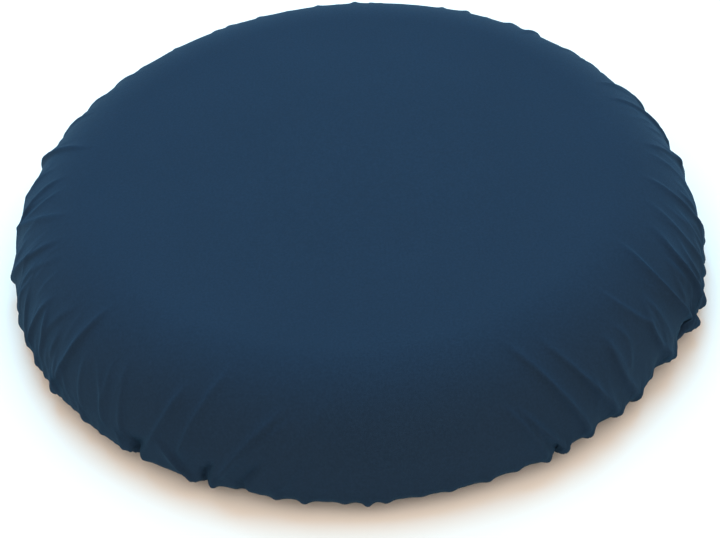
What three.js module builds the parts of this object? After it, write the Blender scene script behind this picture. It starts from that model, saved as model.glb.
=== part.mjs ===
// A round seat cushion in a fitted cloth cover with an elastic hem.
//
// Units are millimetres and +Z is up. The origin is on the cushion's axis, at the plane it lies on.
// Everything round is a lathe about that axis, and every lathe has the same number of sides, so that
// the thin layers nest inside each other without touching.

import * as THREE from 'three';

// Overall shape of the covered cushion.
const RADIUS = 210;
const HEIGHT = 71.5;
const TOP_FLAT_RADIUS = 153;
const FLOOR_RADIUS = 168;
const WAIST_HEIGHT = 12;

// Thicknesses of the layers, and the free space left between neighbours.
const GAP = 0.4;
const COVER_CLOTH = 0.8;
const LINING_CLOTH = 0.6;
const WADDING = 8;

// The hem: a casing of turned cloth with a flat elastic inside, drawn in under the cushion. The casing is
// as high as its gathers.
const HEM_RADIUS = 152;
const HEM_WIDTH = 13;
const HEM_FOLD_STEP = 0.6;
const CASING_HEIGHT = 6;
const ELASTIC_WIDTH = 6;
const ELASTIC_THICKNESS = 1.2;
const STITCH_WIDTH = 0.8;
const STITCH_EDGE_DISTANCE = 1.8;
const TACK_LENGTH = 3;
const TACK_THICKNESS = 0.4;

// The foam and its lining are pressed up by the hem and rest on the floor inside it.
const REST_RADIUS = 144;
const REST_STEP = 4;
const HEM_CLEARANCE = 0.6;
const LINING_UPPER_SEAM_ANGLE = 56.25;
const LINING_LOWER_SEAM_RADIUS = 187;
const LINING_SEAM_THREAD = 0.6;
const FOAM_CORNER = 4;

// The care label lies flat inside the cover, held by one end at the hem.
const LABEL_LENGTH = 22;
const LABEL_WIDTH = 18;
const LABEL_THICKNESS = 0.3;
const LABEL_DIRECTION = 135;
const LABEL_STITCH_HEIGHT = 0.4;

// How finely curves are divided.
const SIDES = 48;
const TOP_EDGE_STEPS = 8;
const LOWER_EDGE_STEPS = 9;

// Heights that follow from the sizes above.
const HEM_HEIGHT = 2 * COVER_CLOTH + CASING_HEIGHT;
const CORE_LIFT = HEM_HEIGHT + HEM_CLEARANCE;
const LINING_INSET = COVER_CLOTH + GAP;
const WADDING_INSET = LINING_INSET + LINING_CLOTH + GAP;
const FOAM_INSET = WADDING_INSET + WADDING + GAP;

const point = (radius, height) => new THREE.Vector2(radius, height);
const radians = THREE.MathUtils.degToRad;

const materials = {
  coverCloth: new THREE.MeshStandardMaterial({ color: 0x25405b, roughness: 0.9, metalness: 0 }),
  elastic: new THREE.MeshStandardMaterial({ color: 0xe8e6df, roughness: 0.8, metalness: 0 }),
  navyThread: new THREE.MeshStandardMaterial({ color: 0x1d3148, roughness: 0.7, metalness: 0 }),
  lining: new THREE.MeshStandardMaterial({ color: 0xe4e0d6, roughness: 0.95, metalness: 0 }),
  paleThread: new THREE.MeshStandardMaterial({ color: 0xf2f0ea, roughness: 0.7, metalness: 0 }),
  wadding: new THREE.MeshStandardMaterial({ color: 0xf4f4f2, roughness: 1, metalness: 0 }),
  foam: new THREE.MeshStandardMaterial({ color: 0xe9dfb8, roughness: 1, metalness: 0 }),
  label: new THREE.MeshStandardMaterial({ color: 0xf7f7f5, roughness: 0.6, metalness: 0 }),
};

const cushion = new THREE.Group();

function addPiece(name, geometry, material) {
  const mesh = new THREE.Mesh(geometry, material);
  mesh.name = name;
  cushion.add(mesh);
  return mesh;
}

// A closed outline given from the top, down the outside and back up the inside, turned about +Z.
// LatheGeometry turns about Y and wants its outline from the bottom up, hence the reverse and the tilt.
function turned(outline) {
  const closed = [...outline, outline[0]].reverse();
  return new THREE.LatheGeometry(closed, SIDES).rotateX(Math.PI / 2);
}

// An outline that begins and ends on the axis.
function turnedFromAxis(outline) {
  return new THREE.LatheGeometry([...outline].reverse(), SIDES).rotateX(Math.PI / 2);
}

// Points of an elliptical arc, by angle in degrees above the horizontal.
function ellipseArc(centre, halfWidth, halfHeight, fromDegrees, toDegrees, steps) {
  const points = [];
  for (let i = 0; i <= steps; i += 1) {
    const angle = radians(fromDegrees + ((toDegrees - fromDegrees) * i) / steps);
    points.push(point(centre.x + halfWidth * Math.cos(angle), centre.y + halfHeight * Math.sin(angle)));
  }
  return points;
}

// The rounded edge above the widest line, for a surface that lies `inset` inside the cushion's outside.
function topEdge(inset, fromDegrees = 90, toDegrees = 0) {
  const steps = Math.ceil((Math.abs(fromDegrees - toDegrees) / 90) * TOP_EDGE_STEPS);
  return ellipseArc(
    point(TOP_FLAT_RADIUS, WAIST_HEIGHT),
    RADIUS - TOP_FLAT_RADIUS - inset,
    HEIGHT - WAIST_HEIGHT - inset,
    fromDegrees,
    toDegrees,
    Math.max(steps, 1),
  );
}

// The rounded edge below the widest line, down to `height`, for a surface `inset` inside the outside.
function lowerEdge(inset, height = inset) {
  const halfHeight = WAIST_HEIGHT - inset;
  const turn = THREE.MathUtils.radToDeg(Math.asin((WAIST_HEIGHT - height) / halfHeight));
  const centre = point(FLOOR_RADIUS, WAIST_HEIGHT);
  const arc = ellipseArc(centre, RADIUS - FLOOR_RADIUS - inset, halfHeight, 0, -turn, LOWER_EDGE_STEPS);
  return arc.slice(1);
}

// One layer of cloth from the crown to the hem, turned back on itself there to make the casing for the
// elastic. The casing's mouth, at the turned edge, is what the outer row of stitches closes.
function coverCloth() {
  const inner = COVER_CLOTH;
  const turnedEdge = HEM_RADIUS + HEM_WIDTH;
  const casingFloor = COVER_CLOTH;
  const casingRoof = COVER_CLOTH + CASING_HEIGHT;
  const outside = [point(0, HEIGHT), ...topEdge(0), ...lowerEdge(0)];
  const hem = [
    point(HEM_RADIUS + HEM_FOLD_STEP, 0),
    point(HEM_RADIUS, HEM_FOLD_STEP),
    point(HEM_RADIUS, HEM_HEIGHT - HEM_FOLD_STEP),
    point(HEM_RADIUS + HEM_FOLD_STEP, HEM_HEIGHT),
    point(turnedEdge, HEM_HEIGHT),
    point(turnedEdge, casingRoof),
    point(HEM_RADIUS + COVER_CLOTH, casingRoof),
    point(HEM_RADIUS + COVER_CLOTH, casingFloor),
  ];
  const inside = [...topEdge(inner), ...lowerEdge(inner)].reverse();
  return turnedFromAxis([...outside, ...hem, ...inside, point(0, HEIGHT - inner)]);
}

// A ring of rectangular section.
function flatRing(innerRadius, width, bottom, thickness) {
  const outerRadius = innerRadius + width;
  const top = bottom + thickness;
  return turned([
    point(outerRadius, top),
    point(outerRadius, bottom),
    point(innerRadius, bottom),
    point(innerRadius, top),
  ]);
}

const elasticRadius = HEM_RADIUS + (HEM_WIDTH - ELASTIC_WIDTH) / 2;
const elasticBottom = COVER_CLOTH + (CASING_HEIGHT - ELASTIC_THICKNESS) / 2;

function hemElastic() {
  return flatRing(elasticRadius, ELASTIC_WIDTH, elasticBottom, ELASTIC_THICKNESS);
}

// A row of stitches seen from inside the casing: the thread between the two layers of cloth.
function hemStitch(radius) {
  return flatRing(radius, STITCH_WIDTH, COVER_CLOTH + GAP, CASING_HEIGHT - 2 * GAP);
}

function elasticTack() {
  const geometry = new THREE.BoxGeometry(ELASTIC_WIDTH - 2 * GAP, TACK_LENGTH, TACK_THICKNESS);
  const height = elasticBottom - TACK_THICKNESS / 2 - GAP / 2;
  return geometry.translate(elasticRadius + ELASTIC_WIDTH / 2, 0, height);
}

// The outline of a layer, from its outside and its inside, both given from the top down.
function layer(outer, inner) {
  return [...outer, ...[...inner].reverse()];
}

// The lining is a sewn case of three panels: top, side and bottom.
function liningTop() {
  const outer = [point(0, HEIGHT - LINING_INSET), ...topEdge(LINING_INSET, 90, LINING_UPPER_SEAM_ANGLE)];
  const insideInset = LINING_INSET + LINING_CLOTH;
  const inner = [point(0, HEIGHT - insideInset), ...topEdge(insideInset, 90, LINING_UPPER_SEAM_ANGLE)];
  return turnedFromAxis(layer(outer, inner));
}

// Turns a seam's width along the rounded edge into an angle on it.
const seamAngle = THREE.MathUtils.radToDeg((LINING_SEAM_THREAD + 2 * GAP) / (HEIGHT - WAIST_HEIGHT));

function liningSide() {
  const start = LINING_UPPER_SEAM_ANGLE - seamAngle;
  const insideInset = LINING_INSET + LINING_CLOTH;
  const outer = [...topEdge(LINING_INSET, start, 0), ...lowerEdge(LINING_INSET, CORE_LIFT)];
  const inner = [
    ...topEdge(insideInset, start, 0),
    ...lowerEdge(insideInset, CORE_LIFT + LINING_CLOTH),
  ];
  outer.push(point(LINING_LOWER_SEAM_RADIUS, CORE_LIFT));
  inner.push(point(LINING_LOWER_SEAM_RADIUS, CORE_LIFT + LINING_CLOTH));
  return turned(layer(outer, inner));
}

function liningBottom() {
  const edge = LINING_LOWER_SEAM_RADIUS - LINING_SEAM_THREAD - 2 * GAP;
  const outer = [
    point(edge, CORE_LIFT),
    point(REST_RADIUS + REST_STEP, CORE_LIFT),
    point(REST_RADIUS, 0),
    point(0, 0),
  ];
  const inner = [
    point(edge, CORE_LIFT + LINING_CLOTH),
    point(REST_RADIUS + REST_STEP - LINING_CLOTH, CORE_LIFT + LINING_CLOTH),
    point(REST_RADIUS - LINING_CLOTH, LINING_CLOTH),
    point(0, LINING_CLOTH),
  ];
  return turnedFromAxis([...[...inner].reverse(), ...outer]);
}

function liningUpperSeam() {
  const angle = LINING_UPPER_SEAM_ANGLE - seamAngle / 2;
  const [centre] = topEdge(LINING_INSET + LINING_CLOTH / 2, angle, angle);
  const half = LINING_SEAM_THREAD / 2;
  return flatRing(centre.x - half, LINING_SEAM_THREAD, centre.y - half, LINING_SEAM_THREAD);
}

function liningLowerSeam() {
  const radius = LINING_LOWER_SEAM_RADIUS - LINING_SEAM_THREAD - GAP;
  return flatRing(radius, LINING_SEAM_THREAD, CORE_LIFT, LINING_SEAM_THREAD);
}

function waddingTop() {
  const top = HEIGHT - WADDING_INSET;
  return turnedFromAxis([
    point(0, top),
    point(TOP_FLAT_RADIUS - GAP, top),
    point(TOP_FLAT_RADIUS - GAP, top - WADDING),
    point(0, top - WADDING),
  ]);
}

function waddingSide() {
  const outer = topEdge(WADDING_INSET);
  const inner = topEdge(WADDING_INSET + WADDING);
  return turned(layer(outer, inner));
}

// A disc cut from foam sheet, rounded over at the top edge and pressed up where the hem runs under it.
function foamCore() {
  const restHeight = LINING_CLOTH + GAP;
  const pressedHeight = CORE_LIFT + LINING_CLOTH + GAP;
  const widest = RADIUS - FOAM_INSET;
  return turnedFromAxis([
    point(0, HEIGHT - FOAM_INSET),
    ...topEdge(FOAM_INSET),
    point(widest - FOAM_CORNER, pressedHeight + GAP),
    point(REST_RADIUS + REST_STEP - LINING_CLOTH, pressedHeight),
    point(REST_RADIUS - LINING_CLOTH - GAP, restHeight),
    point(0, restHeight),
  ]);
}

// The label is blank. Its fixed end meets the hem, and it points outwards from there.
const labelStart = HEM_RADIUS + HEM_WIDTH + GAP;
const labelBottom = COVER_CLOTH + CASING_HEIGHT;

function careLabel() {
  const geometry = new THREE.BoxGeometry(LABEL_LENGTH, LABEL_WIDTH, LABEL_THICKNESS);
  return geometry.translate(labelStart + LABEL_LENGTH / 2, 0, labelBottom + LABEL_THICKNESS / 2);
}

function labelStitch() {
  const geometry = new THREE.BoxGeometry(STITCH_WIDTH, LABEL_WIDTH - 2 * GAP, LABEL_STITCH_HEIGHT);
  const height = labelBottom - GAP - LABEL_STITCH_HEIGHT / 2;
  return geometry.translate(labelStart + STITCH_EDGE_DISTANCE, 0, height);
}

addPiece('foam_core', foamCore(), materials.foam);
addPiece('wadding_top', waddingTop(), materials.wadding);
addPiece('wadding_side', waddingSide(), materials.wadding);
addPiece('lining_top', liningTop(), materials.lining);
addPiece('lining_side', liningSide(), materials.lining);
addPiece('lining_bottom', liningBottom(), materials.lining);
addPiece('lining_upper_seam', liningUpperSeam(), materials.paleThread);
addPiece('lining_lower_seam', liningLowerSeam(), materials.paleThread);
addPiece('cover_cloth', coverCloth(), materials.coverCloth);
addPiece('hem_elastic', hemElastic(), materials.elastic);
addPiece('elastic_tack', elasticTack(), materials.paleThread);
addPiece('hem_stitch_inner', hemStitch(HEM_RADIUS + STITCH_EDGE_DISTANCE), materials.navyThread);
addPiece(
  'hem_stitch_outer',
  hemStitch(HEM_RADIUS + HEM_WIDTH - STITCH_EDGE_DISTANCE - STITCH_WIDTH),
  materials.navyThread,
);

for (const piece of [
  addPiece('care_label', careLabel(), materials.label),
  addPiece('label_stitch', labelStitch(), materials.navyThread),
]) {
  piece.rotation.z = radians(LABEL_DIRECTION);
}

export default cushion;
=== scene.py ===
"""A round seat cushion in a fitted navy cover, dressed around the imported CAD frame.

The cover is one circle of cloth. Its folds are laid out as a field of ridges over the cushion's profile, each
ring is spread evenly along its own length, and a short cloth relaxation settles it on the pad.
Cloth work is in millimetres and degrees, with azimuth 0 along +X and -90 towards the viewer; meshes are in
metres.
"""

import math

import bpy
import numpy as np
from mathutils import Matrix, Vector


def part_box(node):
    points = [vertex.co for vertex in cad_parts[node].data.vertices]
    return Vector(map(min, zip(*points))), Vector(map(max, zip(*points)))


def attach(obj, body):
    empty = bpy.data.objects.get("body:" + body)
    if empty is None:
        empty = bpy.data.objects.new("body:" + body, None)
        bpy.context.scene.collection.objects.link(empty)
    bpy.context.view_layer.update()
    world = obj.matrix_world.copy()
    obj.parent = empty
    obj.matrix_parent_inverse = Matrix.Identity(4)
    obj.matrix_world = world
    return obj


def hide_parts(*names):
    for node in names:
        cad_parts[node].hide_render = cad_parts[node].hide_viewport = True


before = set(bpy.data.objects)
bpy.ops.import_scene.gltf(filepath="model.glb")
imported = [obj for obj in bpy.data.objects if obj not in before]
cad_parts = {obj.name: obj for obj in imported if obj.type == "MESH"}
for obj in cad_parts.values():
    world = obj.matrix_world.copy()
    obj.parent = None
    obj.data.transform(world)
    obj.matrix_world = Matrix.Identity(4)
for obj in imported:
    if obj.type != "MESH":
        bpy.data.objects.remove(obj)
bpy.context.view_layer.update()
BODY = "root"
MM = 0.001


def node_radius(name):
    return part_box(name)[1].x / MM


def node_bottom(name):
    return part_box(name)[0].z / MM


# ---- driving sizes, mm
RADIUS = node_radius("cover_cloth")
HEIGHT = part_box("cover_cloth")[1].z / MM
WAIST_HEIGHT = node_bottom("wadding_side")
TOP_FLAT_RADIUS = node_radius("wadding_top") + 0.4
FLOOR_RADIUS = 0.8 * RADIUS
CORE_LIFT = node_bottom("lining_side")
HEM_WIDTH = 13
ELASTIC_WIDTH = 6
HEM_RADIUS = node_radius("hem_elastic") - (HEM_WIDTH + ELASTIC_WIDTH) / 2
CROWN = 0.5

# ---- camera: elevation in radians, lens in mm, and its small turns (roll, pan, tilt) in radians
CAMERA_ELEVATION = 0.704
CAMERA_DISTANCE = 6 * RADIUS * MM
CAMERA_TARGET_HEIGHT = 0.17 * RADIUS * MM
CAMERA_LENS = 103.75
CAMERA_TURNS = (0.069, -0.002, -0.027)


def link(name, data):
    """A new object in the scene."""
    made = bpy.data.objects.new(name, data)
    bpy.context.scene.collection.objects.link(made)
    return made


def turn(axis, angle):
    return Matrix.Rotation(angle, 3, axis)


def add_camera():
    """Stands in front, on the -Y side, and looks down; the small turns place the object in the frame."""
    data = bpy.data.cameras.new("camera")
    data.sensor_width = 36
    data.lens = CAMERA_LENS
    data.clip_start = 0.01
    camera = link("camera", data)
    forward = Vector((0, math.cos(CAMERA_ELEVATION), -math.sin(CAMERA_ELEVATION)))
    right = Vector((1, 0, 0))
    roll, pan, tilt = CAMERA_TURNS
    looking = Matrix((right, right.cross(forward), forward))
    turned = turn("X", tilt) @ turn("Y", pan) @ turn("Z", roll) @ looking
    facing = (Matrix.Diagonal((1, 1, -1)) @ turned).transposed()
    place = Vector((0, 0, CAMERA_TARGET_HEIGHT)) - CAMERA_DISTANCE * forward
    camera.matrix_world = Matrix.Translation(place) @ facing.to_4x4()
    bpy.context.scene.camera = camera


add_camera()


# ---- the cushion's profile
def smooth(t):
    t = np.clip(t, 0, 1)
    return t * t * (3 - 2 * t)


def wrap(degrees):
    """The same azimuth between -180 and 180."""
    return (degrees + 180) % 360 - 180


def mm_round(azimuth, at, radius):
    """Distance round the ring at `radius` from the azimuth `at` to each column."""
    return np.radians(wrap(azimuth[None] - at)) * radius


def polar(radius, turns, *height):
    """Points at a radius and an angle in radians, and at a height if there is one."""
    return np.stack([radius * np.cos(turns), radius * np.sin(turns), *height], -1)


def profile_points(steps=400):
    """Length of cloth, radius and height, from the top's centre to the hem, and the waist's length."""
    t = np.linspace(0, math.pi / 2, steps)
    radius = np.concatenate([
        np.linspace(0, TOP_FLAT_RADIUS, steps, endpoint=False),
        TOP_FLAT_RADIUS + (RADIUS - TOP_FLAT_RADIUS) * np.sin(t),
        FLOOR_RADIUS + (RADIUS - FLOOR_RADIUS) * np.cos(t)[1:],
        [HEM_RADIUS],
    ])
    height = np.concatenate([
        np.full(steps, HEIGHT),
        WAIST_HEIGHT + (HEIGHT - WAIST_HEIGHT) * np.cos(t),
        WAIST_HEIGHT * (1 - np.sin(t))[1:],
        [0],
    ])
    cloth = np.concatenate([[0], np.cumsum(np.hypot(np.diff(radius), np.diff(height)))])
    return cloth, radius, height, cloth[2 * steps - 1]


PROFILE_CLOTH, PROFILE_RADIUS, PROFILE_HEIGHT, WAIST = profile_points()
FLOOR = PROFILE_CLOTH[-2]
HEM = PROFILE_CLOTH[-1]


def profile(cloth):
    return np.interp(cloth, PROFILE_CLOTH, PROFILE_RADIUS), np.interp(cloth, PROFILE_CLOTH, PROFILE_HEIGHT)


def profile_normal(cloth, step=1.0):
    """The outward normal's radial and upward parts."""
    ahead, behind = profile(cloth + step), profile(cloth - step)
    along, up = ahead[0] - behind[0], ahead[1] - behind[1]
    length = np.hypot(along, up) + 1e-9
    return -up / length, along / length


# ---- the folds of the cover
# Each crease: its start as a share of RADIUS along the cloth, azimuths at the start, halfway and at the end,
# heights in mm at the start and the end, and its end. Without an end it runs to the floor and under the pad.
TO_FLOOR = 1.17
CREASES = (
    (0.80, -193.5, -197.5, -203.0, 1.6, 3.4),
    (0.92, -191.5, -189.0, -194.0, 1.4, 1.4, 1.12),
    (0.84, -184.8, -183.4, -180.8, 1.3, 1.8, 1.02),
    (0.84, -180.9, -179.8, -180.6, 1.1, 1.1, 1.00),
    (0.83, -173.0, -179.8, -188.0, 1.5, 1.6),
    (0.86, -166.8, -170.8, -176.5, 1.3, 2.6),
    (0.88, -163.0, -164.5, -166.0, 0.7, 0.7, 0.98),
    (1.02, -165.3, -164.9, -165.3, 1.4, 1.8),
    (1.00, -163.6, -161.3, -160.4, 1.2, 1.8),
    (0.95, -156.2, -157.4, -157.8, 1.7, 1.3, 1.12),
    (0.97, -155.7, -153.4, -155.6, 1.6, 1.8),
    (0.90, -149.8, -152.0, -153.4, 0.9, 0.8, 1.03),
    (0.84, -143.6, -145.6, -148.8, 1.4, 2.8),
    (1.06, -146.4, -145.0, -146.0, 1.4, 1.2),
    (0.97, -141.8, -141.2, -139.8, 0.9, 1.2),
    (0.97, -138.8, -135.8, -136.0, 1.0, 1.4),
    (0.93, -133.3, -131.8, -131.0, 0.8, 1.8),
    (0.91, -121.4, -124.2, -127.2, 1.4, 1.7),
    (0.84, -114.9, -118.0, -120.3, 1.1, 1.8, 1.10),
    (1.08, -124.4, -121.6, -118.4, 2.2, 3.0),
    (0.93, -104.5, -110.4, -115.0, 2.0, 2.8),
    (0.95, -103.0, -108.8, -113.4, 1.4, 1.5, 1.13),
    (1.01, -99.6, -101.8, -105.2, 0.8, 1.7, 1.15),
    (0.89, -96.3, -99.3, -102.5, 0.6, 0.6, 1.03),
    (0.98, -68.3, -65.5, -62.9, 1.6, 3.6),
    (1.00, -66.2, -63.0, -59.6, 1.8, 4.0),
    (0.83, -64.0, -59.0, -54.8, 1.4, 3.6),
    (0.86, -57.9, -53.5, -48.5, 1.1, 3.4),
    (0.95, -46.7, -46.7, -43.6, 1.3, 3.2),
    (0.94, -44.1, -43.1, -44.7, 1.1, 0.9, 1.06),
    (0.86, -41.3, -39.8, -37.2, 1.0, 1.1, 1.01),
    (0.95, -35.6, -37.2, -33.2, 1.2, 3.8),
    (0.96, -35.1, -34.2, -33.6, 0.8, 1.1, 1.12),
    (0.81, -28.9, -30.2, -25.0, 1.7, 5.8),
    (0.87, -20.8, -23.2, -20.4, 1.6, 5.2),
    (1.08, -24.2, -23.2, -22.6, 1.0, 2.0),
    (0.95, -18.6, -20.0, -16.4, 0.9, 2.4),
    (0.85, -14.8, -17.0, -13.6, 1.1, 3.2),
    (0.94, -11.8, -12.6, -10.6, 0.9, 2.4),
    (0.84, -7.6, -8.8, -6.0, 1.2, 3.4),
)
# Where the cloth bulges out just above the floor along the taut front: azimuth and mm.
FLOOR_BULGES = (
    (-105.0, 3.0), (-100.6, 3.6), (-94.6, 2.6), (-91.2, 4.6), (-88.4, 3.2), (-83.0, 1.4), (-78.6, 2.2),
    (-72.8, 2.4), (-68.0, 2.0),
)
BULGE_HALF_WIDTH = 3.4
# Where cloth is drawn in at the floor: azimuth, lean, half width and depth in mm, start and ramp as shares.
TUCKS = (
    (-128.8, -3.5, 2.2, 5.5, 1.085, 0.05),
    (-116.3, -3.0, 1.9, 4.6, 1.085, 0.05),
    (-110.4, -4.0, 2.6, 2.8, 1.04, 0.08),
    (-61.2, 1.5, 1.8, 4.0, 1.11, 0.04),
    (-30.4, 1.0, 2.6, 4.0, 1.11, 0.05),
    (-37.5, 1.0, 6.0, 4.0, 1.09, 0.10),
    (-52.0, 1.0, 6.0, 2.2, 1.11, 0.08),
)
# Where a fold stands open at the side: azimuth, share, half width, half height and depth in mm.
POCKET = (-28.4, 1.142, 3.8, 4.4, 9.0)
# Where a fold stands open at the floor: azimuth, half width and height in mm, and its back wall's share.
OPEN_FOLD = (-22.0, 2.5, 6.0, 1.22)
# The pad isn't a true circle: azimuth and mm outwards.
OUTLINE = (
    (-180, -0.4), (-160, 0.3), (-130, 0.8), (-112, -0.2), (-90, 1.2), (-60, 0.2), (-40, -0.6), (-24, 0.9),
    (-13, -1.0), (-5, -1.8), (15, -3.6), (38, -3.0), (65, -0.3), (95, 0.0), (130, -2.2), (155, -1.4),
    (170, 0.2), (180, -0.4),
)
OUTLINE_FROM_RADIUS = 110
# The back's folds come from seeded draws between two azimuths, and are lower by a factor on a calm stretch.
BACK = (-1.0, 158.0)
CALM_BACK = (95.0, 152.0, 0.5)
# A ridge's crest and flanks in mm, its share of wider flank, a scale for all heights, and its lopsidedness.
CREST_RADIUS = 0.45
FLOOR_CREST_RADIUS = 1.0
FLANK = 2.3
SMALL_FLANK = 1.6
WIDE_SHARE = 0.18
WIDER = 2.6
RELIEF = 1.25
SKEW = 0.42
# How far the cloth may press into the pad between its folds.
SNUG = 0.5
# The taut stretch of the front: its middle, half width and how high its small creases are left.
TAUT_FRONT = (-89.0, 37.0, 0.3)
FIRST_ROW = 150.0
# Lengths of cloth from the centre and the spacing of the rows there: closest where the folds are sharpest.
ROW_SPACING = ((FIRST_ROW, 3.6), (190, 2.6), (204, 1.3), (250, 1.3), (262, 2.2), (310, 2.2))
COLUMNS = 1024
ROWS = 80
DENSITY = 4
SEED = 5
RELAX_STEPS = 20
# Stiffness of threads, bending round the rings, bending along the rows and shear; hold to the laid-out folds.
THREAD, BEND_ROUND, BEND_ALONG, SHEAR, HOLD, KEEP_SPEED = 0.9, 0.04, 0.2, 0.1, 0.12, 0.6


def back_creases(draw):
    creases = []
    azimuth, back_end = BACK
    calm_start, calm_end, calm_share = CALM_BACK
    while azimuth < back_end:
        lean = draw.uniform(-3, 3)
        top = azimuth + lean * 0.5 + draw.uniform(-1, 1)
        floor = azimuth - lean * 0.7 + draw.uniform(-1, 1)
        calm = calm_share if calm_start < azimuth < calm_end else 1.0
        heights = calm * draw.uniform(0.6, 1.4), calm * draw.uniform(1.2, 3.8)
        creases.append((draw.uniform(0.82, 0.93), top, azimuth, floor, *heights))
        azimuth += draw.uniform(4.0, 11.0)
    return creases


def by_front(azimuth):
    """The azimuth from the middle of the taut front, and how high a small crease is left there."""
    front, half, share = TAUT_FRONT
    from_front = wrap(azimuth - front)
    return from_front, share if abs(from_front) < half else 1.0


def small_creases(draw, count=230):
    """Short thin creases between the folds, lying roughly along them."""
    creases = []
    for _ in range(count):
        azimuth = draw.uniform(-180, 180)
        from_front, share = by_front(azimuth)
        start = draw.uniform(0.83, 1.08)
        length = draw.uniform(0.05, 0.16)
        lean = (np.sign(from_front) * 14 * smooth(abs(from_front) / 60) * (1.02 - start) * 2
                + draw.uniform(-12, 12)) * length
        height = share * draw.uniform(0.15, 0.6) * smooth((start - 0.78) / 0.2)
        height *= 1 + 0.8 * smooth((abs(from_front) - 45) / 25)
        bow = draw.uniform(-0.5, 0.5)
        middle = azimuth + lean / 2 + bow
        creases.append((start, azimuth, middle, azimuth + lean, height, height, start + length))
    return creases


def floor_ruffles(draw):
    """Small folds that start below the shoulder, all the way round."""
    ruffles = []
    azimuth = -180.0
    while azimuth < 180:
        from_front, share = by_front(azimuth)
        floor = azimuth + draw.uniform(-1, 1) + np.sign(from_front)
        start = draw.uniform(1.02, 1.12)
        high = share * draw.uniform(1.0, 2.2)
        ruffles.append((start, azimuth, (azimuth + floor) / 2, floor, 0.0, high, 1.3))
        azimuth += draw.uniform(3.0, 5.0)
    return ruffles


def crest(distance, flank, rounding):
    """A ridge's cross-section: a narrow round crest on a wide hollow flank."""
    out = np.sqrt(distance ** 2 + rounding ** 2) - rounding
    return (1 - WIDE_SHARE) * np.exp(-out / flank) + WIDE_SHARE * np.exp(-out / (WIDER * flank))


def crease_relief(crease, share, azimuth, radius, flank):
    """Height of one crease over the rows `share` and columns `azimuth`."""
    start, first, middle, last, low, high, *short = crease
    end = short[0] if short else TO_FLOOR
    along = (share - start) / (end - start)
    t = np.clip(along, -0.1, 1.0)
    at = first * (1 - t) * (1 - 2 * t) + middle * 4 * t * (1 - t) + last * t * (2 * t - 1)
    height = RELIEF * (low + (high - low) * smooth(along)) * smooth((share - start) / 0.08 + 0.35)
    if end < TO_FLOOR:
        height = height * smooth((end - share) / 0.035 + 0.5)
    away = mm_round(azimuth, at, radius)
    skew = SKEW * np.sign(math.sin(12.9898 * middle))
    width = flank * (1 + skew * np.tanh(away / flank)) * (0.85 + 0.2 * smooth((share - 0.9) / 0.3))
    rounding = CREST_RADIUS + (FLOOR_CREST_RADIUS - CREST_RADIUS) * smooth((share - 1.05) / 0.12)
    return height * crest(away, width, rounding)


def fine_wrinkles(draw, share, azimuth):
    """Faint slack between the folds, drawn out along them."""
    turns = np.radians(azimuth)[None]
    wrinkles = np.zeros((len(share), len(azimuth)))
    for waves in (31, 43, 58, 71, 89, 113, 139):
        lean = draw.uniform(-0.25, 0.25)
        swell = 1 + 0.8 * np.sin(draw.uniform(4, 9) * share + draw.uniform(0, 6.3) + 3 * turns)
        wrinkles += swell * np.sin(waves * (turns + lean * (share - 1)) + draw.uniform(0, 6.3)) * 9 / waves
    calm = 1 - 0.8 * np.exp(-(wrap(azimuth[None] - TAUT_FRONT[0]) / TAUT_FRONT[1]) ** 4)
    return 0.36 * smooth((share - 0.8) / 0.3) * wrinkles * calm


def fold_field(cloth, azimuth):
    """How far the cloth stands off the profile, by row of cloth length and column of azimuth."""
    draw = np.random.default_rng(SEED)
    share = cloth[:, None] / RADIUS
    radius = profile(cloth)[0][:, None]
    field = np.zeros((len(cloth), len(azimuth)))
    for crease in CREASES + tuple(back_creases(draw)):
        field += crease_relief(crease, share, azimuth, radius, FLANK)
    for crease in floor_ruffles(draw) + small_creases(draw):
        field += crease_relief(crease, share, azimuth, radius, SMALL_FLANK)
    for at, height in FLOOR_BULGES:
        away = mm_round(azimuth, at, radius)
        field += height * smooth((share - 1.11) / 0.09) * np.exp(-(away / BULGE_HALF_WIDTH) ** 2)
    field += fine_wrinkles(draw, share, azimuth) - 0.8 * smooth((share - 0.84) / 0.3)
    below = np.maximum(-SNUG - field, 0)
    on_pad = np.maximum(field, -SNUG) - SNUG * np.tanh(below / SNUG)
    return on_pad - tuck_depth(share, azimuth, radius)


def tuck_depth(share, azimuth, radius, widen=0.0):
    """How far the tucks and the pocket draw the cloth in, each spread by `widen` mm."""
    depth = np.zeros(np.broadcast(share, azimuth[None]).shape)
    for at, lean, half_width, deep, start, ramp in TUCKS:
        middle = at - lean * (1 - smooth((share - 1.03) / 0.14))
        away = mm_round(azimuth, middle, radius)
        depth += deep * smooth((share - start) / ramp) * np.exp(-(away / (half_width + widen)) ** 2)
    at, level_share, half_width, half_height, deep = POCKET
    away = mm_round(azimuth, at, radius) / (half_width + widen)
    along = (share - level_share) * RADIUS / (half_height + widen)
    return depth + deep * np.exp(-away ** 4 - along ** 4)


def open_at_floor(share, azimuth):
    """How far each point belongs to the mouth of the open fold, and how high that mouth is."""
    at, half_width, tall, back_wall = OPEN_FOLD
    mouth = np.exp(-(mm_round(azimuth, at, RADIUS) / half_width) ** 4) * smooth((share - TO_FLOOR) / 0.02)
    return mouth * (1 - smooth((share - back_wall) / 0.025)), tall


def outline_shift(azimuth, radius):
    """How far the pad's uneven outline moves a point outwards."""
    at, out = np.array(OUTLINE).T
    ramp = smooth((radius - OUTLINE_FROM_RADIUS) / (RADIUS - OUTLINE_FROM_RADIUS))
    return np.interp(wrap(azimuth), at, out) * ramp


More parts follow.
